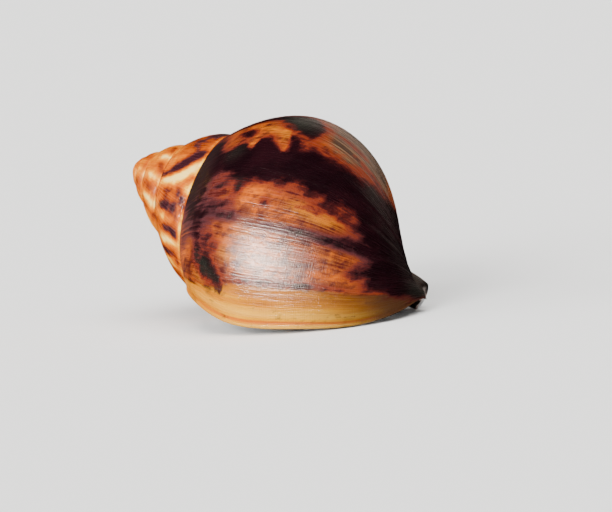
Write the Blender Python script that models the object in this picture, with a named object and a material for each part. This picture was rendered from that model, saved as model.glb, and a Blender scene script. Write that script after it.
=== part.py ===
# Shell of a half-grown giant land snail, empty, lying on its mouth.
# The whole shell is one spiral: the outline of the last whorl is turned about the axis
# and shrinks by the same factor for every turn back towards the tip.
# Metres, +Z up. The spiral is worked out in its own frame first, with the tip at the
# origin and the axis running down -Z, and is then turned to the way the shell rests.
import math

import bmesh
import bpy
import numpy as np
from mathutils import Euler, Matrix, Vector

# Spiral
GROWTH_PER_TURN = 1.686
TURNS_BUILT = 5
TIP_ROUNDING = 0.00435

# Outline of the last whorl: distance from the axis, distance below the tip, and how far
# the lip lags there behind the upper suture, in turns. The outline starts at the upper
# suture, which is the lower suture one turn earlier, so that point is worked out.
SHOULDER = (0.0172, 0.0269, -0.023)
LOWER_SUTURE = (0.0256, 0.0419, -0.077)
BELLY = (0.0230, 0.0564, -0.101)
BASE = (0.0080, 0.0702, -0.155)
BASE_END = (0.0039, 0.0720, -0.190)
TURNS_WITH_LAG = 0.7

# Wall and hollow
WALL = 0.0011
HOLLOW_TURNS = 3
FIRST_WALL_COLUMN = 2

# Columella, the pillar around the axis
PILLAR_SWELL = 0.0004
PILLAR_END_RADIUS = 0.0024
PILLAR_END_DEPTH = 0.0585
PILLAR_STEP = 0.0003
NOTCH_TURNS = 0.2

# Fineness of the faces
ROWS_PER_TURN = 24
COLUMNS_ABOVE_SUTURE = 8
COLUMNS_BELOW_SUTURE = 10
PILLAR_COLUMNS = 4

# The way the shell rests on its mouth
REST_TURN_DEG = (53.5102, 46.5723, -118.2443)

SHELL_COLOUR = (0.30, 0.13, 0.055, 1.0)
SHELL_ROUGHNESS = 0.28
SHARP_EDGE_DEG = 50.0

LAST_ROW = TURNS_BUILT * ROWS_PER_TURN
FIRST_HOLLOW_ROW = LAST_ROW - HOLLOW_TURNS * ROWS_PER_TURN
SUTURE = COLUMNS_ABOVE_SUTURE
END = COLUMNS_ABOVE_SUTURE + COLUMNS_BELOW_SUTURE


def natural_spline(points, knots, where):
    """Natural cubic spline through points at knots, read at where."""
    steps = np.diff(knots)
    count = len(points)
    matrix = np.eye(count)
    slopes = np.zeros_like(points)
    for i in range(1, count - 1):
        matrix[i, i - 1:i + 2] = steps[i - 1], 2.0 * (steps[i - 1] + steps[i]), steps[i]
        after = (points[i + 1] - points[i]) / steps[i]
        before = (points[i] - points[i - 1]) / steps[i - 1]
        slopes[i] = 6.0 * (after - before)
    bends = np.linalg.solve(matrix, slopes)
    span = np.clip(np.searchsorted(knots, where, side="right") - 1, 0, count - 2)
    width = steps[span][:, None]
    low = (where - knots[span])[:, None]
    high = (knots[span + 1] - where)[:, None]
    curve = (bends[span] * high ** 3 + bends[span + 1] * low ** 3) / (6.0 * width)
    curve += (points[span] / width - bends[span] * width / 6.0) * high
    curve += (points[span + 1] / width - bends[span + 1] * width / 6.0) * low
    return curve


def whorl_outline():
    """The last whorl's outline, outer and inner, and the lip's lag, a row per column."""
    upper_radius = LOWER_SUTURE[0] / GROWTH_PER_TURN
    upper_depth = LOWER_SUTURE[1] / GROWTH_PER_TURN
    drawn = np.array([(upper_radius, upper_depth, 0.0),
                      SHOULDER, LOWER_SUTURE, BELLY, BASE, BASE_END])
    chords = np.linalg.norm(np.diff(drawn[:, :2], axis=0), axis=1)
    knots = np.concatenate([[0.0], np.cumsum(chords)]) / chords.sum()
    above = np.linspace(0.0, knots[2], COLUMNS_ABOVE_SUTURE + 1)
    below = np.linspace(knots[2], 1.0, COLUMNS_BELOW_SUTURE + 1)
    where = np.concatenate([above, below[1:]])
    curve = natural_spline(drawn, knots, where)
    outer = curve[:, :2]
    along = np.gradient(outer, where, axis=0)
    along /= np.linalg.norm(along, axis=1)[:, None]
    inner = outer + WALL * np.stack([-along[:, 1], along[:, 0]], axis=1)
    return outer, inner, curve[:, 2]


def lag_share(turn):
    """How much of the lip's lag a growth line has at a turn: none early, all at the lip."""
    return max(0.0, turn / TURNS_WITH_LAG + 1.0)


def on_spiral(turn, radius, depth):
    """Place in the spiral's frame. Turn 0 is the upper end of the lip, -1 a turn earlier."""
    size = GROWTH_PER_TURN ** turn
    depth = math.hypot(size * depth, TIP_ROUNDING) - TIP_ROUNDING
    angle = -2.0 * math.pi * turn
    return Vector((size * radius * math.cos(angle), size * radius * math.sin(angle), -depth))


def between(start, end, share, swell):
    """Point between two places near the axis, kept on a round pillar swollen a little."""
    start_radius = math.hypot(start.x, start.y)
    end_radius = math.hypot(end.x, end.y)
    radius = start_radius + (end_radius - start_radius) * share
    radius += swell * math.sin(math.pi * share)
    start_angle = math.atan2(start.y, start.x)
    turned = math.atan2(end.y, end.x) - start_angle
    turned = (turned + math.pi) % (2.0 * math.pi) - math.pi
    angle = start_angle + turned * share
    depth = start.z + (end.z - start.z) * share
    return Vector((radius * math.cos(angle), radius * math.sin(angle), depth))


class Shell:
    """Builds the shell's one closed surface row by row, sharing every edge."""

    def __init__(self, mesh):
        self.mesh = mesh
        self.outer_outline, self.inner_outline, self.lag = whorl_outline()
        self.outer = []
        self.inner = []
        self.pillar = []

    def turn(self, row, column):
        turn = (row - LAST_ROW) / ROWS_PER_TURN
        return turn + self.lag[column] * lag_share(turn)

    def vertex(self, place):
        return self.mesh.verts.new(place)

    def face(self, *corners):
        self.mesh.faces.new(corners)

    def strip(self, first, second):
        for column in range(len(first) - 1):
            self.face(first[column], first[column + 1], second[column + 1], second[column])

    def make_outer(self):
        """Outer face of the wall. Each whorl starts on the suture of the one before."""
        for row in range(LAST_ROW + 1):
            needs_base = row >= FIRST_HOLLOW_ROW - ROWS_PER_TURN
            points = []
            for column, (radius, depth) in enumerate(self.outer_outline):
                if column == 0 and row >= ROWS_PER_TURN:
                    points.append(self.outer[row - ROWS_PER_TURN][SUTURE])
                elif column <= SUTURE or needs_base:
                    points.append(self.vertex(on_spiral(self.turn(row, column), radius, depth)))
            self.outer.append(points)
        for row in range(LAST_ROW):
            self.strip(self.outer[row][:SUTURE + 1], self.outer[row + 1][:SUTURE + 1])
        for row in range(LAST_ROW - ROWS_PER_TURN, LAST_ROW):
            self.strip(self.outer[row][SUTURE:], self.outer[row + 1][SUTURE:])

    def hollow_ring(self, row):
        """The hollow's edge in one row: wall, pillar, then the whorl before, to the suture."""
        return self.inner[row] + self.pillar[row] + self.outer[row - ROWS_PER_TURN][:SUTURE:-1]

    def make_hollow(self):
        for row in range(LAST_ROW + 1):
            if row < FIRST_HOLLOW_ROW:
                self.inner.append(None)
                self.pillar.append(None)
                continue
            wall = []
            for column in range(FIRST_WALL_COLUMN, END + 1):
                radius, depth = self.inner_outline[column]
                wall.append(self.vertex(on_spiral(self.turn(row, column), radius, depth)))
            self.inner.append(wall)
            above = self.outer[row - ROWS_PER_TURN][END].co
            self.pillar.append([
                self.vertex(between(wall[-1].co, above, i / PILLAR_COLUMNS, PILLAR_SWELL))
                for i in range(1, PILLAR_COLUMNS)])
        for row in range(FIRST_HOLLOW_ROW, LAST_ROW):
            ring = self.hollow_ring(row)
            following = self.hollow_ring(row + 1)
            self.strip(ring + ring[:1], following + following[:1])
        self.face(*self.hollow_ring(FIRST_HOLLOW_ROW))

    def make_lip(self):
        """The wall's cut edge around the mouth."""
        outer = self.outer[LAST_ROW]
        inner = self.inner[LAST_ROW]
        self.strip(outer[FIRST_WALL_COLUMN:], inner)
        below_suture = self.outer[LAST_ROW - ROWS_PER_TURN][SUTURE + 1]
        self.face(*outer[:FIRST_WALL_COLUMN + 1], inner[0], below_suture)

    def make_pillar_end(self):
        """The pillar shows round the axis under the base, and ends short of the lip."""
        lip_outer = self.outer[LAST_ROW][END]
        lip_inner = self.inner[LAST_ROW][-1]
        lip_radius = math.hypot(lip_inner.co.x, lip_inner.co.y)
        start_angle = math.atan2(lip_inner.co.y, lip_inner.co.x)
        end_ring = [lip_inner]
        edge = [lip_inner] + self.pillar[LAST_ROW] + [self.outer[LAST_ROW - ROWS_PER_TURN][END]]
        for step in range(1, ROWS_PER_TURN):
            share = step / ROWS_PER_TURN
            top = self.outer[LAST_ROW - ROWS_PER_TURN + step][END]
            rise = min(1.0, share / NOTCH_TURNS)
            rise = rise * rise * (3.0 - 2.0 * rise)
            height = lip_inner.co.z + (-PILLAR_END_DEPTH - lip_inner.co.z) * rise
            height = min(height, top.co.z - PILLAR_STEP)
            radius = lip_radius + (PILLAR_END_RADIUS - lip_radius) * rise
            angle = start_angle - 2.0 * math.pi * share
            bottom = self.vertex((radius * math.cos(angle), radius * math.sin(angle), height))
            following = [bottom]
            for i in range(1, PILLAR_COLUMNS):
                across = between(bottom.co, top.co, i / PILLAR_COLUMNS, PILLAR_SWELL * (1 - share))
                following.append(self.vertex(across))
            following.append(top)
            self.strip(edge, following)
            edge = following
            end_ring.append(bottom)
        for i in range(PILLAR_COLUMNS):
            self.face(edge[i], edge[i + 1], lip_outer)
        end_ring.append(lip_outer)
        self.cap(end_ring, Vector((0.0, 0.0, -PILLAR_END_DEPTH)))

    def make_tip(self):
        """The start of the spiral, closed over the axis."""
        rim = [self.outer[row][0] for row in range(ROWS_PER_TURN)]
        rim += self.outer[0][SUTURE:0:-1]
        top = max(vertex.co.z for vertex in rim)
        self.cap(rim, Vector((0.0, 0.0, top)))

    def cap(self, ring, place):
        middle = self.vertex(place)
        for i, corner in enumerate(ring):
            self.face(corner, ring[(i + 1) % len(ring)], middle)


def clear_scene():
    for thing in list(bpy.data.objects):
        bpy.data.objects.remove(thing, do_unlink=True)


def shell_material():
    material = bpy.data.materials.new("shell_material")
    material.use_nodes = True
    shader = material.node_tree.nodes["Principled BSDF"]
    shader.inputs["Base Color"].default_value = SHELL_COLOUR
    shader.inputs["Roughness"].default_value = SHELL_ROUGHNESS
    shader.inputs["Metallic"].default_value = 0.0
    return material


def stand_on_floor(mesh):
    """Turn the spiral to its resting way, and put the middle of its box over the origin."""
    turned = Euler([math.radians(angle) for angle in REST_TURN_DEG]).to_matrix()
    bmesh.ops.rotate(mesh, cent=(0.0, 0.0, 0.0), matrix=turned, verts=mesh.verts)
    low = [min(vertex.co[axis] for vertex in mesh.verts) for axis in range(3)]
    high = [max(vertex.co[axis] for vertex in mesh.verts) for axis in range(3)]
    shift = Vector((-(low[0] + high[0]) / 2.0, -(low[1] + high[1]) / 2.0, -low[2]))
    bmesh.ops.transform(mesh, matrix=Matrix.Translation(shift), verts=mesh.verts)


def make_shell(collection):
    mesh = bmesh.new()
    shell = Shell(mesh)
    shell.make_outer()
    shell.make_hollow()
    shell.make_lip()
    shell.make_pillar_end()
    shell.make_tip()
    bmesh.ops.recalc_face_normals(mesh, faces=mesh.faces)
    stand_on_floor(mesh)
    data = bpy.data.meshes.new("shell")
    mesh.to_mesh(data)
    mesh.free()
    data.shade_smooth()
    data.set_sharp_from_angle(angle=math.radians(SHARP_EDGE_DEG))
    data.materials.append(shell_material())
    thing = bpy.data.objects.new("shell", data)
    collection.objects.link(thing)
    return thing


def main():
    clear_scene()
    collection = bpy.data.collections.new("giant_african_snail_shell")
    bpy.context.scene.collection.children.link(collection)
    make_shell(collection)


main()
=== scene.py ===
import math

import bmesh
import bpy
import numpy as np
from mathutils import Euler, Matrix, Vector


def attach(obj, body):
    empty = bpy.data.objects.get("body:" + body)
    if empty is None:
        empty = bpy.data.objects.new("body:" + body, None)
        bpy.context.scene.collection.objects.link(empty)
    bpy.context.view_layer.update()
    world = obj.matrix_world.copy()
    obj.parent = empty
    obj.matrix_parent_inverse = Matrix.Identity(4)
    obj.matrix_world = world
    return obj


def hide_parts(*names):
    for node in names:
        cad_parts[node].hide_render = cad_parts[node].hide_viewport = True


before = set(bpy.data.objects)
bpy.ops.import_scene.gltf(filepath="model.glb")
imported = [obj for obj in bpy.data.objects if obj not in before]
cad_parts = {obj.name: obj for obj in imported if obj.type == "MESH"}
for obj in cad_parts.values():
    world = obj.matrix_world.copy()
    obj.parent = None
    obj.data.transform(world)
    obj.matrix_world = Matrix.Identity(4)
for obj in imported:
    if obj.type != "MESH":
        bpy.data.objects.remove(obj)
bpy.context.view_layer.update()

# Metres. The shell's spiral is worked out in its own frame, with the tip at the origin
# and the axis running down -Z, and is then turned and moved to where the CAD shell rests.

# Spiral, as in the CAD shell. Points of the outline are: radius, depth, and the lip's lag in turns
GROWTH_PER_TURN = 1.686
TIP_ROUNDING = 0.00435
SHOULDER = (0.0172, 0.0269, -0.023)
LOWER_SUTURE = (0.0256, 0.0419, -0.077)
BELLY = (0.0230, 0.0564, -0.101)
BASE = (0.0080, 0.0702, -0.155)
BASE_END = (0.0039, 0.0720, -0.190)
TURNS_WITH_LAG = 0.7
WALL = 0.0011
PILLAR_SWELL = 0.0004
PILLAR_END_RADIUS = 0.0024
PILLAR_END_DEPTH = 0.0585
PILLAR_STEP = 0.0003
NOTCH_TURNS = 0.2
REST_TURN_DEG = (53.5102, 46.5723, -118.2443)
TIP_PLACE = (-0.02797, 0.00272, 0.02611)

# Surface of the wall
RIDGE_HEIGHT = 0.00006
LIP_THINNING = 0.15
LIP_THINNING_TURNS = 0.03
LIP_SET_BACK_TURNS = 0.0026
BASE_THINNING = 0.00075
BASE_THINNING_TURNS = 0.08
BASE_THINNING_FROM = 0.86
BEAD_HEIGHT = 0.00016
BEAD_TURN = -0.0035
BEAD_WIDTH_TURNS = 0.0035
GROOVE_DEPTH = 0.00008
GROOVE_TURN = -0.0105
GROOVE_WIDTH_TURNS = 0.003

# Growth ridges, as waves laid over each other. Each is: how many in a turn, how far they
# waver, how fast, how much that differs across the whorl, and strength
GROWTH_RIDGES = (
    (67.0, 2.0, 29.0, 3.0, 0.35),
    (41.0, 1.3, 17.0, 0.0, 0.50),
    (19.0, 1.7, 11.0, 0.0, 0.45),
)

# The lip's rounded edge: forward, in shares of the set-back, and outward, in wall thicknesses.
# The outside's look gives way to the inside's between two shares of the edge.
RIM = ((0.45, -0.03), (0.82, -0.18), (1.0, -0.45), (0.85, -0.78), (0.45, -0.96))
RIM_INSIDE_FROM = (0.2, 0.9)

# Callus on the whorl before, just outside the mouth: how far it runs, and how much it counts
# as the inside
CALLUS_TURNS = 0.045
CALLUS_INSIDE = 0.75

# The pillar's end: where white takes over from the dark base round it and where it gives way
# again, in turns, how far in from the wall it is full, and how white the middle is
PILLAR_WHITE_FROM = (0.20, 0.34)
PILLAR_WHITE_UNTIL = (0.46, 0.60)
PILLAR_WHITE_INWARDS = 0.35
PILLAR_MIDDLE_WHITE = 0.15

# What is kept at every face corner, in this order. A place runs across the whorl, from 0 at
# the upper suture to 1 at the base. Yellow is the unmarked zone before the lip.
AT_TURN = 0
AT_PLACE = 1
INSIDE = 2
DARK = 3
PALE = 4
# Taupe-brown at the upper right: partly the shell's own colour, partly a painted grey sheen
TAUPE_AND_SHEEN = 5
OLIVE_AND_SHEEN = 6
# Grey-green cast on the black: partly the shell's own olive-black, partly a painted sheen
YELLOW = 7
PURPLE = 8
VALUES = 9

# How flat-topped the markings are, where 1 is a plain soft spot, and how fast they fade
MARK_SHARPNESS = 1.25
SOFT_SHARPNESS = 0.75
MARK_FADE = 0.8

# The unmarked zone before the lip: the turn where it starts at the suture, how much sooner it
# starts further down, the places between which that changes, and how softly it starts
UNMARKED_TURN = -0.031
UNMARKED_SOONER = 0.027
UNMARKED_BEND = (0.12, 0.44)
UNMARKED_FADE = 0.009

# Markings. Each is: turn, place, half length in turns, half width in places, how far its
# turn drifts per place, and strength. Minus strength takes dark away.
DARK_LAST_WHORL = (
    # broad band from the suture to the base
    (-0.224, 0.14, 0.024, 0.10, 0.00, 1.1),
    (-0.222, 0.26, 0.036, 0.06, 0.00, 1.2),
    (-0.252, 0.28, 0.015, 0.035, 0.00, 0.9),
    (-0.236, 0.35, 0.014, 0.05, 0.00, 0.9),
    (-0.250, 0.19, 0.012, 0.03, 0.00, 0.7),
    (-0.205, 0.33, 0.018, 0.07, 0.00, 1.0),
    (-0.229, 0.44, 0.037, 0.065, 0.00, 1.3),
    (-0.266, 0.378, 0.012, 0.022, 0.40, 1.1),
    (-0.225, 0.56, 0.044, 0.075, 0.00, 1.25),
    (-0.244, 0.69, 0.042, 0.075, -0.10, 1.2),
    (-0.275, 0.79, 0.048, 0.060, -0.20, 1.1),
    # small dash and the patches on the crest
    (-0.285, 0.180, 0.013, 0.036, 0.20, 1.15),
    (-0.327, 0.35, 0.030, 0.070, 0.10, 1.4),
    (-0.306, 0.395, 0.018, 0.035, 0.20, 1.1),
    (-0.342, 0.16, 0.014, 0.16, 0.02, 1.1),
    (-0.300, 0.02, 0.030, 0.04, 0.00, 0.8),
    (-0.305, 0.66, 0.008, 0.09, 0.00, 0.6),
    (-0.330, 0.56, 0.006, 0.10, 0.00, 0.45),
    # dark base
    (-0.270, 0.90, 0.170, 0.09, 0.00, 1.4),
    (-0.140, 0.94, 0.080, 0.12, 0.00, 1.2),
    (-0.050, 0.99, 0.050, 0.06, 0.00, 1.1),
    # dark growth line
    (-0.137, 0.28, 0.008, 0.05, -0.05, 0.60),
    (-0.131, 0.44, 0.006, 0.12, 0.02, 0.45),
    (-0.132, 0.57, 0.008, 0.08, 0.00, 0.55),
    (-0.138, 0.67, 0.012, 0.07, -0.05, 0.80),
    (-0.165, 0.78, 0.044, 0.09, 0.00, 0.85),
    (-0.205, 0.78, 0.036, 0.09, 0.00, 0.85),
    # by the suture
    (-0.250, 0.05, 0.030, 0.06, 0.10, 0.75),
    (-0.275, 0.03, 0.034, 0.05, 0.10, 0.85),
    (-0.225, 0.04, 0.035, 0.05, 0.10, 0.80),
    (-0.195, 0.05, 0.034, 0.08, 0.10, 1.00),
    (-0.150, 0.08, 0.030, 0.09, 0.15, 0.75),
    (-0.120, 0.14, 0.022, 0.07, 0.20, 0.50),
    (-0.100, 0.15, 0.010, 0.04, 0.20, 0.35),
    (-0.105, 0.04, 0.020, 0.05, 0.10, 0.40),
    (-0.150, 0.19, 0.014, 0.03, 0.20, 0.45),
    (-0.097, 0.24, 0.012, 0.04, 0.10, 0.50),
    # blotch near the lip, and small ones in the rust part
    (-0.074, 0.166, 0.013, 0.028, 0.15, 0.80),
    (-0.064, 0.232, 0.019, 0.040, 0.15, 1.05),
    (-0.056, 0.290, 0.015, 0.026, 0.15, 0.80),
    (-0.178, 0.20, 0.009, 0.03, 0.00, 0.55),
    (-0.172, 0.27, 0.016, 0.018, 0.00, 0.55),
    (-0.140, 0.22, 0.016, 0.06, 0.00, 0.35),
    (-0.162, 0.385, 0.007, 0.014, 0.00, 0.75),
    (-0.152, 0.25, 0.006, 0.03, 0.00, 0.5),
    (-0.165, 0.50, 0.004, 0.06, 0.00, 0.35),
    (-0.176, 0.62, 0.006, 0.07, 0.00, 0.4),
    (-0.090, 0.71, 0.012, 0.030, 0.00, 0.42),
    (-0.100, 0.735, 0.012, 0.030, 0.00, 0.62),
    (-0.080, 0.785, 0.018, 0.040, -0.20, 0.62),
    (-0.108, 0.800, 0.020, 0.045, 0.00, 0.60),
    (-0.078, 0.88, 0.026, 0.07, 0.00, 0.85),
    (-0.100, 0.56, 0.014, 0.06, 0.00, 0.22),
    (-0.061, 0.46, 0.005, 0.11, 0.00, 0.75),
    (-0.064, 0.62, 0.005, 0.10, 0.00, 0.50),
    # orange gaps in the band
    (-0.258, 0.348, 0.009, 0.021, 0.90, -1.1),
    (-0.254, 0.236, 0.015, 0.018, 0.30, -1.3),
    (-0.205, 0.300, 0.010, 0.050, 0.00, -0.30),
    (-0.240, 0.620, 0.010, 0.030, 0.00, -0.25),
)
DARK_SPIRE = (
    # long streak
    (-1.217, 0.030, 0.008, 0.050, -0.15, 0.80),
    (-1.236, 0.145, 0.012, 0.070, -0.20, 0.90),
    (-1.260, 0.225, 0.014, 0.050, -0.30, 0.85),
    (-1.285, 0.290, 0.012, 0.045, -0.30, 1.05),
    # purple-brown cluster
    (-1.142, 0.125, 0.011, 0.045, -0.10, 0.75),
    (-1.156, 0.195, 0.012, 0.055, -0.05, 0.66),
    (-1.156, 0.250, 0.008, 0.035, 0.00, 0.72),
    (-1.177, 0.150, 0.010, 0.050, -0.05, 0.50),
    (-1.190, 0.250, 0.010, 0.035, 0.00, 0.50),
    (-1.181, 0.305, 0.010, 0.030, 0.00, 0.70),
    (-1.165, 0.330, 0.008, 0.015, 0.00, 0.70),
    # spots below it
    (-1.104, 0.204, 0.008, 0.045, -0.05, 0.90),
    (-1.110, 0.280, 0.010, 0.040, 0.10, 0.90),
    (-1.087, 0.054, 0.008, 0.060, -0.20, 0.70),
    (-1.056, 0.235, 0.008, 0.050, -0.15, 0.70),
    (-1.050, 0.310, 0.010, 0.030, 0.00, 0.60),
    (-1.035, 0.120, 0.010, 0.080, -0.15, 0.60),
    (-1.229, 0.325, 0.007, 0.016, 0.00, 0.55),
    # above the streak
    (-1.335, 0.230, 0.010, 0.050, 0.00, 0.45),
    (-1.365, 0.270, 0.016, 0.050, -0.20, 0.75),
    (-1.400, 0.310, 0.030, 0.030, 0.00, 1.10),
    (-1.355, 0.100, 0.012, 0.080, 0.15, 0.50),
    (-1.310, 0.200, 0.012, 0.060, 0.00, 0.45),
    # whorls before
    (-2.243, 0.245, 0.017, 0.080, 0.00, 0.55),
    (-2.156, 0.196, 0.016, 0.080, 0.00, 0.60),
    (-2.076, 0.237, 0.013, 0.090, 0.10, 0.55),
    (-2.326, 0.296, 0.016, 0.045, 0.00, 0.55),
    (-2.140, 0.050, 0.010, 0.060, 0.00, 0.26),
    (-2.225, 0.330, 0.009, 0.015, 0.00, 0.65),
    (-2.160, 0.330, 0.010, 0.015, 0.00, 0.50),
    (-2.075, 0.330, 0.012, 0.015, 0.00, 0.65),
    (-3.274, 0.246, 0.030, 0.080, 0.00, 0.24),
)
PALE_MARKS = (
    # golden, on the last whorl
    (-0.288, 0.30, 0.012, 0.12, 0.10, 0.7),
    (-0.262, 0.345, 0.008, 0.012, 0.50, 0.6),
    (-0.166, 0.50, 0.009, 0.05, 0.00, 0.80),
    (-0.158, 0.58, 0.011, 0.06, 0.00, 0.60),
    (-0.172, 0.63, 0.008, 0.05, 0.00, 0.45),
    (-0.118, 0.35, 0.010, 0.05, 0.00, 0.5),
    (-0.088, 0.31, 0.012, 0.05, 0.10, 0.7),
    (-0.108, 0.64, 0.014, 0.08, 0.00, 0.4),
    (-0.045, 0.22, 0.012, 0.06, 0.10, 0.6),
    # cream, on the whorl before
    (-1.205, 0.090, 0.010, 0.080, -0.10, 0.9),
    (-1.213, 0.165, 0.010, 0.050, -0.15, 1.0),
    (-1.228, 0.245, 0.012, 0.045, -0.25, 1.0),
    (-1.250, 0.295, 0.012, 0.035, -0.30, 1.0),
    (-1.200, 0.310, 0.012, 0.025, 0.00, 0.8),
    (-1.122, 0.155, 0.008, 0.050, -0.10, 0.8),
    (-1.125, 0.325, 0.018, 0.012, 0.00, 0.9),
    (-1.073, 0.175, 0.009, 0.060, -0.15, 0.9),
    (-1.087, 0.242, 0.008, 0.040, -0.10, 0.9),
    (-1.092, 0.296, 0.008, 0.030, 0.00, 0.7),
    (-1.030, 0.200, 0.010, 0.100, -0.20, 0.7),
    (-1.315, 0.020, 0.020, 0.030, 0.00, 0.6),
    # cream, towards the tip
    (-2.198, 0.230, 0.016, 0.120, 0.00, 1.2),
    (-2.115, 0.220, 0.015, 0.130, 0.00, 1.2),
    (-2.288, 0.260, 0.015, 0.090, 0.00, 1.1),
    (-2.337, 0.060, 0.014, 0.050, 0.00, 0.6),
    (-2.020, 0.200, 0.020, 0.120, 0.00, 0.7),
    (-3.222, 0.113, 0.030, 0.080, 0.00, 0.6),
)
# The taupe-brown patch at the upper right: partly the shell's own colour, partly a painted grey sheen
TAUPE_AND_SHEEN_MARKS = (
    (-0.360, 0.54, 0.050, 0.14, 0.00, 1.0),
    (-0.320, 0.62, 0.050, 0.12, 0.00, 1.1),
    (-0.298, 0.56, 0.016, 0.08, 0.00, 0.6),
)
# Grey-green cast on the black: partly the shell's own olive-black, partly a painted sheen
OLIVE_AND_SHEEN_MARKS = (
    (-0.240, 0.18, 0.018, 0.04, 0.00, 0.45),
    (-0.322, 0.34, 0.026, 0.06, 0.10, 1.0),
    (-0.065, 0.20, 0.014, 0.09, 0.19, 1.0),
    (-0.270, 0.69, 0.020, 0.03, 0.00, 0.6),
    (-0.175, 0.25, 0.012, 0.05, 0.00, 0.6),
    (-0.360, 0.48, 0.030, 0.10, 0.00, 0.6),
    (-0.050, 0.97, 0.060, 0.05, 0.00, 0.7),
)
PURPLE_MARKS = (
    (-0.134, 0.45, 0.016, 0.30, 0.00, 0.9),
    (-0.150, 0.10, 0.090, 0.12, 0.00, 0.9),
    (-0.140, 0.74, 0.060, 0.08, 0.00, 0.5),
    (-1.156, 0.20, 0.016, 0.10, -0.05, 1.0),
    (-1.140, 0.11, 0.010, 0.05, -0.30, 0.8),
)

# Colours
BLACK_MAROON = (0.0060, 0.0014, 0.0024, 1.0)
DEEP_MAROON = (0.0110, 0.0022, 0.0036, 1.0)
MAROON = (0.055, 0.0080, 0.0070, 1.0)
RED_RUST = (0.190, 0.026, 0.0080, 1.0)
RUST = (0.170, 0.034, 0.0080, 1.0)
ORANGE = (0.40, 0.070, 0.0015, 1.0)
LIGHT_ORANGE = (0.84, 0.195, 0.0010, 1.0)
SPIRE_MAROON = (0.030, 0.0070, 0.0100, 1.0)
SPIRE_RUST = (0.22, 0.032, 0.0040, 1.0)
SPIRE_ORANGE = (0.46, 0.078, 0.0000, 1.0)
SPIRE_LIGHT = (0.60, 0.150, 0.0000, 1.0)
SPIRE_GOLD = (0.78, 0.230, 0.0000, 1.0)
SPIRE_PALE = (0.85, 0.380, 0.0200, 1.0)
CREAM = (0.98, 0.65, 0.170, 1.0)
GOLD = (0.50, 0.140, 0.0020, 1.0)
AMBER = (0.58, 0.150, 0.0000, 1.0)
HONEY = (0.48, 0.140, 0.0000, 1.0)
TAN = (0.50, 0.165, 0.0010, 1.0)
DEEP_TAN = (0.30, 0.085, 0.0010, 1.0)
PALE_TAN = (0.74, 0.330, 0.0040, 1.0)
LIP_ORANGE = (0.52, 0.105, 0.0010, 1.0)
LIP_PALE = (0.80, 0.440, 0.0600, 1.0)
HORN_BROWN = (0.050, 0.020, 0.0080, 1.0)
# Taupe browns for that patch; the pale one is partly a painted grey sheen
DARK_TAUPE = (0.028, 0.013, 0.0090, 1.0)
TAUPE_BROWN = (0.070, 0.036, 0.0200, 1.0)
PALE_TAUPE_AND_SHEEN = (0.24, 0.130, 0.0600, 1.0)
# Grey-green black: partly olive-black colour, partly a painted sheen on the black
OLIVE_AND_SHEEN_BLACK = (0.0130, 0.0130, 0.0100, 1.0)
PURPLE_BROWN = (0.060, 0.017, 0.0190, 1.0)
PORCELAIN = (0.70, 0.70, 0.72, 1.0)
CALLUS_WHITE = (0.50, 0.42, 0.38, 1.0)

# Ranges of colour: a tone, and the colour that it stands for
RUST_RANGE = ((0.08, MAROON), (0.38, RUST), (0.62, ORANGE), (0.92, LIGHT_ORANGE))
TAUPE_AND_SHEEN_RANGE = ((0.10, DARK_TAUPE), (0.50, TAUPE_BROWN), (0.90, PALE_TAUPE_AND_SHEEN))
TAN_RANGE = ((0.00, DEEP_TAN), (0.35, TAN), (0.90, PALE_TAN))
SPIRE_RANGE = ((0.00, SPIRE_MAROON), (0.14, PURPLE_BROWN), (0.27, SPIRE_RUST), (0.44, SPIRE_ORANGE),
               (0.64, SPIRE_LIGHT), (0.80, SPIRE_PALE), (0.98, CREAM))
TIP_RANGE = ((0.00, SPIRE_RUST), (0.24, SPIRE_ORANGE), (0.46, AMBER), (0.64, SPIRE_GOLD), (0.86, CREAM))

# Where a look comes in, along the spiral in turns: absent at the first number, full at the second
LAST_WHORL_FROM = (-1.05, -0.95)
TIP_FROM = (-1.75, -2.5)
NEAR_LIP_FROM = (-0.052, -0.020)
PALE_BAND_FROM = (-0.032, -0.022)
PALE_BAND_UNTIL = (-0.0150, -0.0180)
LIP_LINE_FROM = (-0.0140, -0.0115)
LIP_LINE_UNTIL = (-0.0070, -0.0095)
RIM_FROM = (-0.0075, -0.0050)

# The same across the whorl, in places
HONEY_FROM = (0.42, 0.10)
HORN_FROM = (0.46, 0.86)
SUTURE_STREAKS_FROM = (0.26, 0.04)
DULL_FROM = (0.16, 0.03)
LOWER_SUTURE_FROM = (0.308, 0.330)
UPPER_SUTURE_FROM = (0.030, 0.008)

# The same for how strong a marking is. Dark ones have a rust fringe, a middle and a black core.
FRINGE_FROM = (0.08, 0.50)
MIDDLE_FROM = (0.32, 0.74)
CORE_FROM = (0.50, 1.05)
GOLD_FROM = (0.20, 0.95)
TAUPE_AND_SHEEN_FROM = (0.20, 0.90)
TAN_FROM = (0.25, 0.75)

# The same for how much a place counts as the inside
CALLUS_FROM = (0.10, 0.70)
PORCELAIN_FROM = (0.80, 1.00)

# Gloss of the shell, what changes next to the spire, and the fine lines in its surface
ROUGHNESS = 0.27
ROUGHER_BY_SPIRE = 0.55
COAT_WEIGHT = 0.42
LESS_COAT_BY_SPIRE = 0.40
COAT_ROUGHNESS = 0.04
SPECULAR_LEVEL = 0.06
REFRACTION = 1.45
LINE_DEPTH = 0.00012
LINE_STRENGTH = 0.80
COAT_LINE_STRENGTH = 0.45

# Size of the last whorl in millimetres, for textures: along one turn, and across the whorl
MM_PER_TURN = 150.0
MM_PER_PLACE = 62.0

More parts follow.
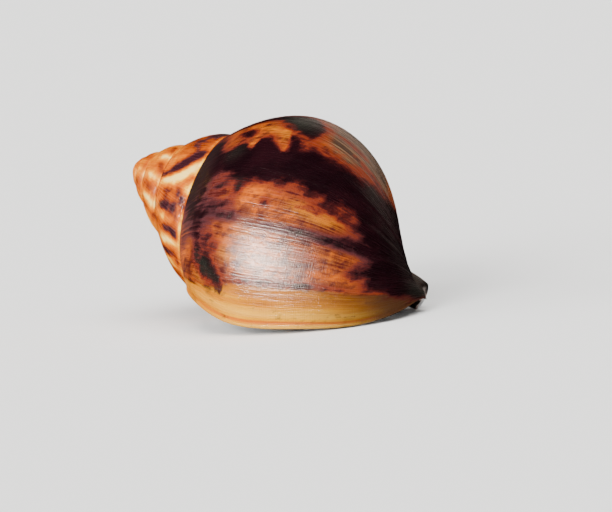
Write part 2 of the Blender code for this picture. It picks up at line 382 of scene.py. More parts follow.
# Flames on the side that the photograph doesn't show, and on the first whorls:
# first turn, last turn, how many, lowest place, strength of dark, strength of pale, seed
HIDDEN_FLAMES = (
    (-0.98, -0.42, 17, 1.00, 1.15, 0.35, 11),
    (-1.96, -1.44, 15, 0.34, 0.85, 0.80, 12),
    (-2.95, -2.42, 9, 0.34, 0.42, 0.80, 13),
    (-3.90, -3.00, 10, 0.34, 0.26, 0.60, 14),
)

# Fineness of the visible mesh, and how many turns it has and shows the hollow of
ROWS_PER_TURN = 288
TURNS = 5.5
HOLLOW_TURNS = 2
LAST_ROW = int(TURNS * ROWS_PER_TURN)
FIRST_HOLLOW_ROW = LAST_ROW - HOLLOW_TURNS * ROWS_PER_TURN
BASE_ROW = LAST_ROW - ROWS_PER_TURN
SUTURE = 22
END = SUTURE + 26
FIRST_WALL_COLUMN = 5
PILLAR_COLUMNS = 7

# Camera: the photograph's view of the shell
CAMERA_FROM_TIP = (0.2405, -0.3682, 0.0359)
CAMERA_FORWARD = (-0.4883, 0.8639, -0.1233)
CAMERA_ROLL_DEG = -5.71
CAMERA_LENS_MM = 148.0
SENSOR_MM = 36.0

# Studio
FLOOR_RADIUS = 20.0
FLOOR_COLOUR = (0.86, 0.85, 0.83, 1.0)
FLOOR_ROUGHNESS = 0.6
WORLD_COLOUR = (1.0, 1.0, 1.0, 1.0)
WORLD_STRENGTH = 0.28
LIGHT_TARGET = Vector((0.0, 0.0, 0.017))

# Soft lights. Each is: name, azimuth and height in degrees, strength, and spread in degrees
SOFT_LIGHTS = (
    ("front_light", -100.0, 25.0, 4.8, 35.0),
    ("side_light", -150.0, 20.0, 2.2, 40.0),
    ("top_light", -40.0, 70.0, 4.0, 60.0),
)

# Windows. Each is: name, azimuth and height in degrees, width and height in metres, and watts
WINDOWS = (
    ("front_window", -103.0, 10.0, 0.32, 0.20, 42.0),
    ("middle_window", -75.0, 10.0, 0.26, 0.20, 10.5),
    ("low_strip", -94.0, -2.5, 0.50, 0.010, 3.0),
    ("low_window", -94.0, -8.0, 0.50, 0.06, 1.2),
    ("back_window", 92.0, 18.0, 0.50, 0.24, 0.25),
)
WINDOW_DISTANCE = 0.60
WINDOW_COLOUR = (1.0, 0.84, 0.72)


def natural_spline(points, knots, where):
    """Natural cubic spline through points at knots, read at where."""
    steps = np.diff(knots)
    count = len(points)
    matrix = np.eye(count)
    slopes = np.zeros_like(points)
    for i in range(1, count - 1):
        matrix[i, i - 1:i + 2] = steps[i - 1], 2.0 * (steps[i - 1] + steps[i]), steps[i]
        after = (points[i + 1] - points[i]) / steps[i]
        before = (points[i] - points[i - 1]) / steps[i - 1]
        slopes[i] = 6.0 * (after - before)
    bends = np.linalg.solve(matrix, slopes)
    span = np.clip(np.searchsorted(knots, where, side="right") - 1, 0, count - 2)
    width = steps[span][:, None]
    low = (where - knots[span])[:, None]
    high = (knots[span + 1] - where)[:, None]
    curve = (bends[span] * high ** 3 + bends[span + 1] * low ** 3) / (6.0 * width)
    curve += (points[span] / width - bends[span] * width / 6.0) * high
    curve += (points[span + 1] / width - bends[span + 1] * width / 6.0) * low
    return curve


def whorl_outline():
    """Outline of the last whorl, its inward direction, the lip's lag and where it is read."""
    upper_radius = LOWER_SUTURE[0] / GROWTH_PER_TURN
    upper_depth = LOWER_SUTURE[1] / GROWTH_PER_TURN
    drawn = np.array([(upper_radius, upper_depth, 0.0),
                      SHOULDER, LOWER_SUTURE, BELLY, BASE, BASE_END])
    chords = np.linalg.norm(np.diff(drawn[:, :2], axis=0), axis=1)
    knots = np.concatenate([[0.0], np.cumsum(chords)]) / chords.sum()
    above = np.linspace(0.0, knots[2], SUTURE + 1)
    below = np.linspace(knots[2], 1.0, END - SUTURE + 1)
    where = np.concatenate([above, below[1:]])
    curve = natural_spline(drawn, knots, where)
    outer = curve[:, :2]
    along = np.gradient(outer, where, axis=0)
    along /= np.linalg.norm(along, axis=1)[:, None]
    inwards = np.stack([-along[:, 1], along[:, 0]], axis=1)
    return outer, inwards, curve[:, 2], where


def on_spiral(turn, radius, depth):
    """Places in the spiral's frame. Turn 0 is the upper end of the lip, -1 a turn earlier."""
    size = GROWTH_PER_TURN ** turn
    depth = np.hypot(size * depth, TIP_ROUNDING) - TIP_ROUNDING
    angle = -2.0 * math.pi * turn
    across = size * radius
    return np.stack([across * np.cos(angle), across * np.sin(angle), -depth], axis=-1)


def smooth(low, high, value):
    """0 below low, 1 above high, and a smooth rise between."""
    share = np.clip((value - low) / (high - low), 0.0, 1.0)
    return share * share * (3.0 - 2.0 * share)


def pillar_points(start, end, shares, swell):
    """Points from start to end round the axis, on a pillar swollen a little between."""
    start_radius = np.hypot(start[..., 0], start[..., 1])
    end_radius = np.hypot(end[..., 0], end[..., 1])
    start_angle = np.arctan2(start[..., 1], start[..., 0])
    turned = np.arctan2(end[..., 1], end[..., 0]) - start_angle
    turned = (turned + math.pi) % (2.0 * math.pi) - math.pi
    shares = shares.reshape((1,) * start_radius.ndim + (-1,))
    radius = start_radius[..., None] + (end_radius - start_radius)[..., None] * shares
    radius = radius + np.asarray(swell)[..., None] * np.sin(math.pi * shares)
    angle = start_angle[..., None] + turned[..., None] * shares
    height = start[..., 2, None] + (end[..., 2] - start[..., 2])[..., None] * shares
    return np.stack([radius * np.cos(angle), radius * np.sin(angle), height], axis=-1)


OUTER, INWARDS, LAG, WHERE = whorl_outline()
ROW_TURN = (np.arange(LAST_ROW + 1) - LAST_ROW) / ROWS_PER_TURN
LAG_SHARE = np.clip(ROW_TURN / TURNS_WITH_LAG + 1.0, 0.0, None)
TURN = ROW_TURN[:, None] + LAG[None, :] * LAG_SHARE[:, None]
LIP_SHARE = smooth(WHERE[FIRST_WALL_COLUMN], WHERE[FIRST_WALL_COLUMN + 4], WHERE)
TURN[-1] -= LIP_SET_BACK_TURNS * LIP_SHARE


def grid_normals(places):
    """Outward unit normals of a grid of places, rows along the spiral."""
    along = np.gradient(places, axis=0)
    across = np.gradient(places, axis=1)
    normal = np.cross(along, across)
    length = np.linalg.norm(normal, axis=-1, keepdims=True)
    return normal / np.maximum(length, 1e-12)


class ShellMesh:
    """Collects the shell's vertices and faces, with values kept at every face corner."""

    def __init__(self):
        self.places = []
        self.count = 0
        self.faces = []
        self.values = []

    def add(self, places):
        """Adds places of any grid shape, and returns their numbers in the same shape."""
        shape = places.shape[:-1]
        number = int(np.prod(shape))
        ids = np.arange(self.count, self.count + number).reshape(shape)
        self.places.append(places.reshape(-1, 3))
        self.count += number
        return ids

    def quads(self, ids, values):
        """Faces between neighbouring rows and columns of a grid of numbers."""
        corners = [(slice(None, -1), slice(None, -1)), (slice(None, -1), slice(1, None)),
                   (slice(1, None), slice(1, None)), (slice(1, None), slice(None, -1))]
        faces = np.stack([ids[corner] for corner in corners], axis=-1)
        kept = np.stack([values[corner] for corner in corners], axis=-2)
        self.faces += [tuple(face) for face in faces.reshape(-1, 4).tolist()]
        self.values.append(kept.reshape(-1, values.shape[-1]))

    def polygon(self, ids, values):
        """One face with any number of corners."""
        self.faces.append(tuple(int(i) for i in ids))
        self.values.append(np.asarray(values, float).reshape(len(ids), -1))

    def fan(self, ring, values, middle, middle_value):
        """Closes a ring of numbers over a middle place."""
        centre = self.add(np.array([middle], float))[0]
        for i in range(len(ring)):
            after = (i + 1) % len(ring)
            self.polygon([ring[i], ring[after], centre], [values[i], values[after], middle_value])


def relief(turn, where):
    """Height over the wall, in metres: growth ridges, and the bead and groove at the lip."""
    ridges = 0.0
    for in_a_turn, waver, speed, across, strength in GROWTH_RIDGES:
        wavering = waver * np.sin(speed * turn + across * where)
        ridges = ridges + strength * np.sin(2.0 * math.pi * in_a_turn * turn + wavering)
    # The ridges come and go along the spiral, between a tenth of their height and all of it
    share = 0.55 + 0.45 * np.sin(13.0 * turn + 2.0 * np.sin(5.0 * turn))
    bead = BEAD_HEIGHT * np.exp(-((turn - BEAD_TURN) / BEAD_WIDTH_TURNS) ** 2)
    groove = GROOVE_DEPTH * np.exp(-((turn - GROOVE_TURN) / GROOVE_WIDTH_TURNS) ** 2)
    return RIDGE_HEIGHT * ridges * share + bead - groove


def outer_places():
    """The wall's outer face: places by row and column, with the relief raised on it."""
    by_lip = smooth(-BASE_THINNING_TURNS, 0.0, ROW_TURN)[:, None]
    thinned = BASE_THINNING * by_lip * smooth(BASE_THINNING_FROM, 1.0, WHERE)[None, :]
    outline = OUTER[None] + thinned[..., None] * INWARDS[None]
    places = on_spiral(TURN, outline[..., 0], outline[..., 1])
    normals = grid_normals(places)
    height = relief(ROW_TURN[:, None], WHERE[None, :])
    size = GROWTH_PER_TURN ** ROW_TURN[:, None]
    return places + normals * (height * size)[..., None]


def wall_thickness():
    """The wall's thickness by row: even, and finer over the last bit before the lip."""
    return WALL * (1.0 - LIP_THINNING * smooth(-LIP_THINNING_TURNS, 0.0, ROW_TURN))


def make_shell():
    """The whole shell as one closed mesh, with its marks kept at the face corners."""
    shell = ShellMesh()
    places = outer_places()
    marks = outer_marks()

    outer = np.zeros(places.shape[:2], int)
    for row in range(LAST_ROW + 1):
        last_column = END if row >= FIRST_HOLLOW_ROW - ROWS_PER_TURN else SUTURE
        if row < ROWS_PER_TURN:
            outer[row, :last_column + 1] = shell.add(places[row, :last_column + 1])
        else:
            outer[row, 0] = outer[row - ROWS_PER_TURN, SUTURE]
            outer[row, 1:last_column + 1] = shell.add(places[row, 1:last_column + 1])
    shell.quads(outer[:, :SUTURE + 1], marks[:, :SUTURE + 1])
    shell.quads(outer[BASE_ROW:, SUTURE:], marks[BASE_ROW:, SUTURE:])

    rows = np.arange(FIRST_HOLLOW_ROW, LAST_ROW + 1)
    wall_outline = OUTER[None] + wall_thickness()[rows, None, None] * INWARDS[None]
    wall_columns = np.arange(FIRST_WALL_COLUMN, END + 1)
    wall = on_spiral(TURN[rows][:, wall_columns],
                     wall_outline[:, wall_columns, 0], wall_outline[:, wall_columns, 1])
    wall_ids = shell.add(wall)
    pillar_shares = np.arange(1, PILLAR_COLUMNS) / PILLAR_COLUMNS
    size = GROWTH_PER_TURN ** ROW_TURN[rows]
    pillar = pillar_points(wall[:, -1], places[rows - ROWS_PER_TURN, END],
                           pillar_shares, PILLAR_SWELL * size)
    pillar_ids = shell.add(pillar)
    before = outer[rows - ROWS_PER_TURN][:, SUTURE + 1:END + 1][:, ::-1]
    ring = np.concatenate([wall_ids, pillar_ids, before, wall_ids[:, :1]], axis=1)
    ring_marks = inside_marks(rows, ring.shape[1])
    shell.quads(ring, ring_marks)
    shell.polygon(ring[0, :-1][::-1], ring_marks[0, :-1][::-1])

    rim_end = make_lip(shell, outer, places, wall, wall_ids, marks, ring_marks)
    make_pillar_end(shell, outer, places, rim_end, wall, pillar_ids, marks, ring_marks)
    tip_ring = np.concatenate([outer[:ROWS_PER_TURN, 0], outer[0, SUTURE:0:-1]])
    tip_marks = np.concatenate([marks[:ROWS_PER_TURN, 0], marks[0, SUTURE:0:-1]])
    tip_height = places[:ROWS_PER_TURN, 0, 2].max()
    shell.fan(tip_ring, tip_marks, (0.0, 0.0, tip_height), marks[0, 0])
    return shell


def spread(marks, turn, where, sharpness=MARK_SHARPNESS):
    """Sum of soft-edged oval marks, read at places given by turn and place on the whorl."""
    field = np.zeros(np.broadcast(turn, where).shape)
    for at, place, half_turns, half_places, drift, strength in marks:
        across = (turn - at - drift * (where - place)) / half_turns
        along = (where - place) / half_places
        field += strength * np.exp(-MARK_FADE * (across ** 2 + along ** 2) ** sharpness)
    return field


def hidden_flames():
    """Marks for the parts that the photograph doesn't show, drawn by chance from set seeds."""
    dark = []
    pale = []
    for first, last, count, lowest, dark_strength, pale_strength, seed in HIDDEN_FLAMES:
        chance = np.random.RandomState(seed)
        step = (last - first) / count
        for i in range(count):
            turn = first + (i + chance.uniform(0.25, 0.75)) * step
            drift = chance.uniform(-0.12, 0.05)
            top = chance.uniform(-0.05, 0.12)
            while top < lowest:
                length = chance.uniform(0.16, 0.42)
                place = top + length / 2.0
                wide = step * chance.uniform(0.16, 0.38)
                strength = dark_strength * chance.uniform(0.65, 1.1)
                dark.append((turn, place, wide, length * 0.6, drift, strength))
                side = turn + step * chance.uniform(0.35, 0.6)
                pale.append((side, place + 0.05, wide * 0.7, length * 0.5, drift, pale_strength))
                turn += chance.uniform(-0.25, 0.2) * step
                top += length * chance.uniform(0.75, 1.25)
    return dark, pale


def outer_marks():
    """Values at the outer face's places: where they are, and how strong each marking is."""
    turn = np.broadcast_to(ROW_TURN[:, None], (LAST_ROW + 1, END + 1))
    where = np.broadcast_to(WHERE[None, :], turn.shape)
    more_dark, more_pale = hidden_flames()
    values = np.zeros(turn.shape + (VALUES,))
    values[..., AT_TURN] = turn
    values[..., AT_PLACE] = where
    below_suture = smooth(WHERE[SUTURE], WHERE[SUTURE + 3], where)
    # The callus starts where the mouth opens, so the rows before that have none
    by_mouth = 1.0 - smooth(-1.0, -1.0 + CALLUS_TURNS, turn)
    by_mouth[:BASE_ROW] = 0.0
    values[..., INSIDE] = CALLUS_INSIDE * by_mouth * below_suture
    values[..., DARK] = spread(DARK_LAST_WHORL + tuple(more_dark), turn, where)
    values[..., DARK] += spread(DARK_SPIRE, turn, where, SOFT_SHARPNESS)
    values[..., PALE] = spread(PALE_MARKS + tuple(more_pale), turn, where, SOFT_SHARPNESS)
    values[..., TAUPE_AND_SHEEN] = spread(TAUPE_AND_SHEEN_MARKS, turn, where)
    values[..., OLIVE_AND_SHEEN] = spread(OLIVE_AND_SHEEN_MARKS, turn, where)
    values[..., PURPLE] = spread(PURPLE_MARKS, turn, where)
    border = UNMARKED_TURN - UNMARKED_SOONER * smooth(*UNMARKED_BEND, where)
    values[..., YELLOW] = smooth(-UNMARKED_FADE, UNMARKED_FADE, turn - border)
    return values


def inside_marks(rows, width):
    """Values for the hollow's ring of corners: all inside, with no marks."""
    values = np.zeros((len(rows), width, VALUES))
    values[..., AT_TURN] = ROW_TURN[rows][:, None]
    values[..., AT_PLACE] = np.linspace(0.0, 1.0, width)[None, :]
    values[..., INSIDE] = 1.0
    return values


def make_lip(shell, outer, places, wall, wall_ids, marks, ring_marks):
    """The wall's rounded edge around the mouth."""
    columns = np.arange(FIRST_WALL_COLUMN, END + 1)
    edge = places[LAST_ROW, columns]
    inner = wall[-1]
    forward = edge - places[LAST_ROW - 1, columns]
    forward /= np.linalg.norm(forward, axis=1)[:, None]
    radius = np.hypot(edge[:, 0], edge[:, 1])
    reach = 2.0 * math.pi * LIP_SET_BACK_TURNS * radius * LIP_SHARE[columns]
    middles = [edge + (inner - edge) * -outward + forward * (reach * along)[:, None]
               for along, outward in RIM]
    middle_ids = shell.add(np.stack(middles, axis=0))
    rim = np.concatenate([outer[LAST_ROW, columns][None], middle_ids, wall_ids[-1:]], axis=0)
    start = marks[LAST_ROW, columns]
    end = ring_marks[-1, :len(columns)]
    shares = smooth(*RIM_INSIDE_FROM, np.linspace(0.0, 1.0, len(rim)))[:, None, None]
    values = start[None] * (1.0 - shares) + end[None] * shares
    shell.quads(rim, values)
    corner = np.concatenate([outer[LAST_ROW, :FIRST_WALL_COLUMN + 1], middle_ids[:, 0],
                             wall_ids[-1, :1], outer[BASE_ROW, SUTURE + 1:SUTURE + 2]])
    corner_values = np.repeat(ring_marks[-1, :1], len(corner), axis=0)
    corner_values[:FIRST_WALL_COLUMN + 1] = marks[LAST_ROW, :FIRST_WALL_COLUMN + 1]
    shell.polygon(corner, corner_values)
    return rim[:, -1]


def make_pillar_end(shell, outer, places, rim_end, wall, pillar_ids, marks, ring_marks):
    """The pillar shows round the axis under the base, and ends short of the lip."""
    lip_inner = wall[-1, -1]
    lip_radius = math.hypot(lip_inner[0], lip_inner[1])
    start_angle = math.atan2(lip_inner[1], lip_inner[0])
    inside = ring_marks[-1, 0]
    steps = np.arange(1, ROWS_PER_TURN)
    share = steps / ROWS_PER_TURN
    top = places[BASE_ROW + steps, END]
    rise = smooth(0.0, NOTCH_TURNS, share)
    height = lip_inner[2] + (-PILLAR_END_DEPTH - lip_inner[2]) * rise
    height = np.minimum(height, top[:, 2] - PILLAR_STEP)
    radius = lip_radius + (PILLAR_END_RADIUS - lip_radius) * rise
    angle = start_angle - 2.0 * math.pi * share
    bottom = np.stack([radius * np.cos(angle), radius * np.sin(angle), height], axis=-1)
    across = np.arange(1, PILLAR_COLUMNS) / PILLAR_COLUMNS
    middle = pillar_points(bottom, top, across, PILLAR_SWELL * (1.0 - share))
    bottom_ids = shell.add(bottom)
    middle_ids = shell.add(middle)
    first = np.concatenate([rim_end[-1:], pillar_ids[-1], outer[BASE_ROW, END:END + 1]])
    rest = np.concatenate([bottom_ids[:, None], middle_ids, outer[BASE_ROW + steps, END][:, None]],
                          axis=1)
    edge = np.concatenate([first[None], rest], axis=0)
    base = marks[BASE_ROW:LAST_ROW, END]
    dark_base = base.copy()
    dark_base[:, DARK] = 1.0
    dark_base[:, OLIVE_AND_SHEEN] = 0.8
    round_end = np.arange(ROWS_PER_TURN) / ROWS_PER_TURN
    darkness = 1.0 - smooth(*PILLAR_WHITE_FROM, round_end) + smooth(*PILLAR_WHITE_UNTIL, round_end)
    from_wall = 1.0 - np.arange(PILLAR_COLUMNS + 1) / PILLAR_COLUMNS
    whitening = smooth(0.0, PILLAR_WHITE_INWARDS, from_wall)
    white = whitening[None, :, None] * (1.0 - darkness)[:, None, None]
    start = base * (1.0 - darkness[:, None]) + dark_base * darkness[:, None]
    values = start[:, None] * (1.0 - white) + inside * white
    shell.quads(edge, values)
    for i in range(PILLAR_COLUMNS):
        shell.polygon([edge[-1, i], edge[-1, i + 1], rim_end[0]], [values[-1, i]] * 3)
    end_ring = np.concatenate([rim_end[-1:], bottom_ids, rim_end[:-1]])
    end_values = np.concatenate([values[:, 0], np.repeat(values[-1:, 0], len(rim_end) - 1, axis=0)])
    middle_value = end_values[0] * (1.0 - PILLAR_MIDDLE_WHITE) + inside * PILLAR_MIDDLE_WHITE
    shell.fan(end_ring, end_values, (0.0, 0.0, -PILLAR_END_DEPTH), middle_value)


def turned_to_rest(places):
    """Places from the spiral's frame, turned and moved to where the CAD shell rests."""
    turned = Euler([math.radians(angle) for angle in REST_TURN_DEG]).to_matrix()
    return places @ np.array(turned).T + np.array(TIP_PLACE)


def make_shell_object():
    """The shell as one object, with what is kept at the face corners in three layers."""
    shell = make_shell()
    places = turned_to_rest(np.concatenate(shell.places))
    data = bpy.data.meshes.new("snail_shell")
    data.from_pydata(places.tolist(), [], shell.faces)
    values = np.concatenate(shell.values)
    for i, name in enumerate(("growth", "marks", "tints")):
        layer = data.attributes.new(name, "FLOAT_VECTOR", "CORNER")
        layer.data.foreach_set("vector", np.ascontiguousarray(values[:, 3 * i:3 * i + 3]).ravel())
    mesh = bmesh.new()
    mesh.from_mesh(data)
    bmesh.ops.recalc_face_normals(mesh, faces=mesh.faces)
    mesh.to_mesh(data)
    mesh.free()
    data.shade_smooth()
    thing = bpy.data.objects.new("snail_shell", data)
    bpy.context.scene.collection.objects.link(thing)
    return thing


class Nodes:
    """Short ways to add shader nodes to one material."""

    def __init__(self, material):
        material.use_nodes = True
        self.tree = material.node_tree
        self.shader = self.tree.nodes["Principled BSDF"]

    def link(self, source, socket):
        """Sets a socket to a number or a colour, or links another socket to it."""
        if isinstance(source, (float, tuple)):
            socket.default_value = source
        else:
            self.tree.links.new(source, socket)

    def give(self, name, source):
        """Sets or links one input of the material's shader."""
        self.link(source, self.shader.inputs[name])

    def attribute(self, name):
        """The three parts of what is kept under a name at the face corners."""
        node = self.tree.nodes.new("ShaderNodeAttribute")
        node.attribute_name = name
        split = self.tree.nodes.new("ShaderNodeSeparateXYZ")
        self.tree.links.new(node.outputs["Vector"], split.inputs[0])
        return split.outputs[0], split.outputs[1], split.outputs[2]

    def math(self, operation, first, second=0.0, clamp=False):
        node = self.tree.nodes.new("ShaderNodeMath")
        node.operation = operation
        node.use_clamp = clamp
        self.link(first, node.inputs[0])
        self.link(second, node.inputs[1])
        return node.outputs[0]

    def times(self, first, second):
        return self.math("MULTIPLY", first, second)

    def total(self, *terms, plus=0.0):
        """Sum of (value, weight) pairs and of a plain number."""
        summed = plus
        for value, weight in terms:
            node = self.tree.nodes.new("ShaderNodeMath")
            node.operation = "MULTIPLY_ADD"
            self.link(value, node.inputs[0])
            self.link(weight, node.inputs[1])
            self.link(summed, node.inputs[2])
            summed = node.outputs[0]
        return summed

    def point(self, x, y, z=0.0):
        node = self.tree.nodes.new("ShaderNodeCombineXYZ")
        self.link(x, node.inputs[0])
        self.link(y, node.inputs[1])
        self.link(z, node.inputs[2])
        return node.outputs[0]

    def noise(self, place, scale, detail=3.0, roughness=0.55, distortion=0.0):
        """Noise from -1 to 1, mostly within half of that."""
        node = self.tree.nodes.new("ShaderNodeTexNoise")
        self.link(place, node.inputs["Vector"])
        node.inputs["Scale"].default_value = scale
        node.inputs["Detail"].default_value = detail
        node.inputs["Roughness"].default_value = roughness
        node.inputs["Distortion"].default_value = distortion
        return self.total((node.outputs["Fac"], 2.0), plus=-1.0)

    def rise(self, low, high, value):
        """0 below low, 1 above high, smooth between."""
        node = self.tree.nodes.new("ShaderNodeMapRange")
        node.interpolation_type = "SMOOTHSTEP"
        self.link(value, node.inputs["Value"])
        node.inputs["From Min"].default_value = low
        node.inputs["From Max"].default_value = high
        return node.outputs["Result"]

    def mix(self, share, first, second):
        """Mixes two colours, each a socket or a tuple."""
        node = self.tree.nodes.new("ShaderNodeMix")
        node.data_type = "RGBA"
        # The node has sockets for every kind of value. Those for colours are 6, 7 and 2.
        self.link(share, node.inputs[0])
        self.link(first, node.inputs[6])
        self.link(second, node.inputs[7])
        return node.outputs[2]

    def ramp(self, value, stops):
        """Colour by value from stops of (place, colour)."""
        node = self.tree.nodes.new("ShaderNodeValToRGB")
        self.link(value, node.inputs[0])
        elements = node.color_ramp.elements
        elements[0].position, elements[0].color = stops[0]
        elements[1].position, elements[1].color = stops[-1]
        for place, colour in stops[1:-1]:
            added = elements.new(place)
            added.color = colour
        return node.outputs[0]

    def bump(self, height, distance, strength):
        node = self.tree.nodes.new("ShaderNodeBump")
        self.link(height, node.inputs["Height"])
        node.inputs["Distance"].default_value = distance
        node.inputs["Strength"].default_value = strength
        return node.outputs["Normal"]


class ShellPaint:
    """The shell's colours, from what is kept at the face corners and from noise."""

    def __init__(self, nodes):
        self.nodes = nodes
        self.turn, self.where, self.inside = nodes.attribute("growth")
        self.dark, self.pale, self.taupe_and_sheen = nodes.attribute("marks")
        self.green, self.yellow, self.purple = nodes.attribute("tints")
        self.last_whorl = nodes.rise(*LAST_WHORL_FROM, self.turn)
        size = nodes.math("POWER", GROWTH_PER_TURN, self.turn)
        along = nodes.times(size, MM_PER_TURN / math.log(GROWTH_PER_TURN))
        across = nodes.times(nodes.times(self.where, size), MM_PER_PLACE)
        # Even noise is read on a slant, because its grid shows otherwise
        even = nodes.point(nodes.total((along, 0.80), (across, 0.36)),
                           nodes.total((along, -0.36), (across, 0.80)),
                           nodes.total((along, 0.48), (across, 0.48)))
        growth_lines = nodes.point(nodes.times(along, 3.2), nodes.times(across, 0.12))
        spiral_lines = nodes.point(nodes.times(along, 0.25), nodes.times(self.where, 5.0 * MM_PER_PLACE))
        self.blotch = nodes.noise(even, scale=0.42, detail=6.0, roughness=0.62, distortion=0.4)
        self.cloud = nodes.noise(even, scale=0.12, detail=4.0)
        self.streak = nodes.noise(growth_lines, scale=1.0, detail=4.0, roughness=0.6)
        self.wide_streak = nodes.noise(growth_lines, scale=0.28)
        self.thread = nodes.noise(spiral_lines, scale=1.0, roughness=0.6)

    def rust_ground(self):
        """The last whorl's rust and orange, with golden marks and the taupe patch, which is partly a
        painted grey sheen.
        """
        nodes = self.nodes
        blotches = nodes.total((self.blotch, 0.98), (self.wide_streak, 0.6), (self.streak, 0.35),
                               (self.cloud, 0.5))
        look = nodes.ramp(nodes.total((blotches, 0.95), (self.thread, 0.10), plus=0.37), RUST_RANGE)
        golden = nodes.total((self.pale, 1.0), (self.blotch, 0.45), (self.streak, 0.45))
        look = nodes.mix(nodes.rise(*GOLD_FROM, golden), look, GOLD)
        # The taupe patch: partly the shell's own colour, partly a painted grey sheen
        taupe_and_sheen_tone = nodes.total((self.streak, 0.9), (self.wide_streak, 0.6), plus=0.48)
        taupe_and_sheen = nodes.total((self.taupe_and_sheen, 1.0), (self.wide_streak, 0.5))
        return nodes.mix(nodes.rise(*TAUPE_AND_SHEEN_FROM, taupe_and_sheen), look, nodes.ramp(taupe_and_sheen_tone, TAUPE_AND_SHEEN_RANGE))

    def tan_zone(self):
        """The unmarked zone before the lip, with a pale band, an orange line and a pale rim."""
        nodes = self.nodes
        near_lip = nodes.rise(*NEAR_LIP_FROM, self.turn)
        tone = nodes.total((self.wide_streak, 0.8), (self.streak, 0.35), (self.blotch, 0.25),
                           (self.cloud, 0.3), (near_lip, 0.55), plus=0.10)
        look = nodes.ramp(tone, TAN_RANGE)
        line = nodes.times(nodes.rise(*LIP_LINE_FROM, self.turn), nodes.rise(*LIP_LINE_UNTIL, self.turn))
        look = nodes.mix(nodes.times(line, 0.9), look, LIP_ORANGE)
        rim = nodes.rise(*RIM_FROM, self.turn)
        band = nodes.times(nodes.rise(*PALE_BAND_FROM, self.turn), nodes.rise(*PALE_BAND_UNTIL, self.turn))
        look = nodes.mix(nodes.total((rim, 0.6), (band, 0.4)), look, LIP_PALE)
        honey = nodes.rise(*HONEY_FROM, nodes.total((self.where, 1.0), (self.wide_streak, 0.12)))
        look = nodes.mix(nodes.times(honey, 0.8), look, HONEY)
        return nodes.mix(nodes.rise(*HORN_FROM, self.where), look, HORN_BROWN)

    def with_dark_marks(self, ground, tan_share):
        """The ground under near-black markings, which have a maroon edge and a rust fringe."""
        nodes = self.nodes
        suture_streaks = nodes.times(nodes.rise(*SUTURE_STREAKS_FROM, self.where),
                                     nodes.total((self.wide_streak, 0.6), (self.streak, 0.6)))
        level = nodes.total((self.dark, 1.0), (self.blotch, 0.74), (self.streak, 0.34),
                            (self.wide_streak, 0.26), (self.thread, 0.08), (suture_streaks, 0.9))
        fringe = nodes.mix(tan_share, nodes.mix(self.purple, RED_RUST, PURPLE_BROWN), HORN_BROWN)
        middle = nodes.mix(self.purple, MAROON, PURPLE_BROWN)
        core = nodes.mix(nodes.rise(-0.15, 0.25, self.cloud), BLACK_MAROON, DEEP_MAROON)
        # Grey-green black where those marks are: partly olive-black colour, partly a painted sheen
        core = nodes.mix(self.green, core, OLIVE_AND_SHEEN_BLACK)
        look = nodes.mix(nodes.rise(*FRINGE_FROM, level), ground, fringe)
        look = nodes.mix(nodes.rise(*MIDDLE_FROM, level), look, middle)
        return nodes.mix(nodes.rise(*CORE_FROM, level), look, core)

    def spire(self):
        """Flames that run from maroon through orange to cream, and an amber tip."""
        nodes = self.nodes
        at_suture = nodes.total((nodes.rise(*LOWER_SUTURE_FROM, self.where), 0.5),
                                (nodes.rise(*UPPER_SUTURE_FROM, self.where), -0.5))
        flame = nodes.total((self.pale, 0.54), (self.dark, -0.56), (self.blotch, 0.50),
                            (self.wide_streak, 0.16), (self.streak, 0.08), (at_suture, 0.35), plus=0.47)
        tip_tone = nodes.total((self.pale, 0.45), (self.dark, -0.90), (self.blotch, 0.70),
                               (at_suture, 0.35), plus=0.40)
        return nodes.mix(nodes.rise(*TIP_FROM, self.turn), nodes.ramp(flame, SPIRE_RANGE),
                         nodes.ramp(tip_tone, TIP_RANGE))

    def colour(self):
        """The whole shell's colour: the outer face, the callus and the porcelain inside."""
        nodes = self.nodes
        unmarked = nodes.total((self.yellow, 1.0), (self.blotch, 0.35), (self.streak, 0.45))
        tan_share = nodes.rise(*TAN_FROM, unmarked)
        ground = nodes.mix(tan_share, self.rust_ground(), self.tan_zone())
        outer = nodes.mix(self.last_whorl, self.spire(), self.with_dark_marks(ground, tan_share))
        inner = nodes.mix(nodes.rise(*PORCELAIN_FROM, self.inside), CALLUS_WHITE, PORCELAIN)
        return nodes.mix(nodes.rise(*CALLUS_FROM, self.inside), outer, inner)

    def line_height(self):
        """Fine growth lines and threads, on the outer face only."""
        nodes = self.nodes
        outside = nodes.math("SUBTRACT", 1.0, self.inside, clamp=True)
        return nodes.times(nodes.total((self.streak, 0.7), (self.thread, 0.45)), outside)


def shell_material():
    material = bpy.data.materials.new("snail_shell")
    nodes = Nodes(material)
    paint = ShellPaint(nodes)
    nodes.give("Base Color", paint.colour())
    # The last whorl is duller next to the spire, which it would mirror otherwise
    by_spire = nodes.times(nodes.rise(*DULL_FROM, paint.where), paint.last_whorl)
    roughness = nodes.total((paint.streak, 0.08), (by_spire, ROUGHER_BY_SPIRE), plus=ROUGHNESS)
    nodes.give("Roughness", roughness)
    nodes.give("Coat Weight", nodes.total((by_spire, -LESS_COAT_BY_SPIRE), plus=COAT_WEIGHT))
    nodes.give("Coat Roughness", COAT_ROUGHNESS)
    nodes.give("Specular IOR Level", SPECULAR_LEVEL)
    nodes.give("IOR", REFRACTION)
    height = paint.line_height()
    nodes.give("Normal", nodes.bump(height, LINE_DEPTH, LINE_STRENGTH))
    nodes.give("Coat Normal", nodes.bump(height, LINE_DEPTH, COAT_LINE_STRENGTH))
    return material


def plain_material(name, look, roughness):
    material = bpy.data.materials.new(name)
    nodes = Nodes(material)
    nodes.give("Base Color", look)
    nodes.give("Roughness", roughness)
    nodes.give("Specular IOR Level", 0.0)
    return material


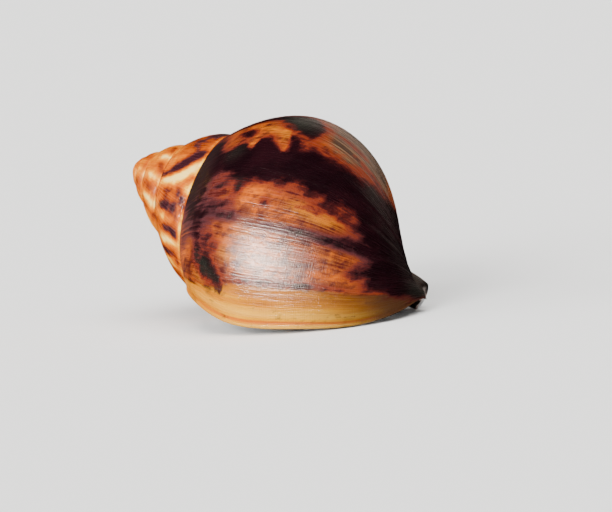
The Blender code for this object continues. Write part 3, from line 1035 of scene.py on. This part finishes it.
def make_floor():
    mesh = bmesh.new()
    bmesh.ops.create_circle(mesh, cap_ends=True, segments=96, radius=FLOOR_RADIUS)
    data = bpy.data.meshes.new("floor")
    mesh.to_mesh(data)
    mesh.free()
    data.materials.append(plain_material("floor", FLOOR_COLOUR, FLOOR_ROUGHNESS))
    floor = bpy.data.objects.new("floor", data)
    floor.visible_glossy = False
    bpy.context.scene.collection.objects.link(floor)
    return floor


def make_world():
    world = bpy.data.worlds.new("studio")
    world.use_nodes = True
    background = world.node_tree.nodes["Background"]
    background.inputs["Color"].default_value = WORLD_COLOUR
    background.inputs["Strength"].default_value = WORLD_STRENGTH
    bpy.context.scene.world = world
    world.cycles_visibility.glossy = False


def towards(azimuth_deg, height_deg):
    """Unit vector from the shell at an azimuth and a height over the floor."""
    azimuth = math.radians(azimuth_deg)
    up = math.radians(height_deg)
    return Vector((math.cos(up) * math.cos(azimuth), math.cos(up) * math.sin(azimuth), math.sin(up)))


def add_light(data, way, distance):
    """Puts a light where it faces the shell from one way."""
    lamp = bpy.data.objects.new(data.name, data)
    lamp.location = LIGHT_TARGET + way * distance
    lamp.rotation_euler = (-way).to_track_quat("-Z", "Y").to_euler()
    bpy.context.scene.collection.objects.link(lamp)
    return lamp


def add_soft_light(name, azimuth_deg, height_deg, strength, spread_deg):
    """Even light over the whole studio, which makes no reflection."""
    data = bpy.data.lights.new(name, "SUN")
    data.energy = strength
    data.angle = math.radians(spread_deg)
    lamp = add_light(data, towards(azimuth_deg, height_deg), 1.0)
    lamp.visible_glossy = False


def add_window(name, azimuth_deg, height_deg, width, height, watts):
    """A bright rectangle that is only seen mirrored in the shell."""
    data = bpy.data.lights.new(name, "AREA")
    data.shape = "RECTANGLE"
    data.size = width
    data.size_y = height
    data.energy = watts
    data.color = WINDOW_COLOUR
    lamp = add_light(data, towards(azimuth_deg, height_deg), WINDOW_DISTANCE)
    lamp.visible_diffuse = False


def make_camera():
    """The camera, with its picture's sides along the directions found for the photograph."""
    forward = Vector(CAMERA_FORWARD).normalized()
    level = forward.to_track_quat("-Z", "Y")
    roll = Matrix.Rotation(math.radians(CAMERA_ROLL_DEG), 4, "Z")
    data = bpy.data.cameras.new("camera")
    data.lens = CAMERA_LENS_MM
    data.sensor_width = SENSOR_MM
    data.clip_start = 0.01
    camera = bpy.data.objects.new("camera", data)
    place = Vector(TIP_PLACE) + Vector(CAMERA_FROM_TIP)
    camera.matrix_world = Matrix.Translation(place) @ level.to_matrix().to_4x4() @ roll
    bpy.context.scene.collection.objects.link(camera)
    bpy.context.scene.camera = camera


def main():
    shell = make_shell_object()
    shell.data.materials.append(shell_material())
    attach(shell, "root")
    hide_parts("shell")
    make_floor()
    make_world()
    for light in SOFT_LIGHTS:
        add_soft_light(*light)
    for window in WINDOWS:
        add_window(*window)
    make_camera()


main()
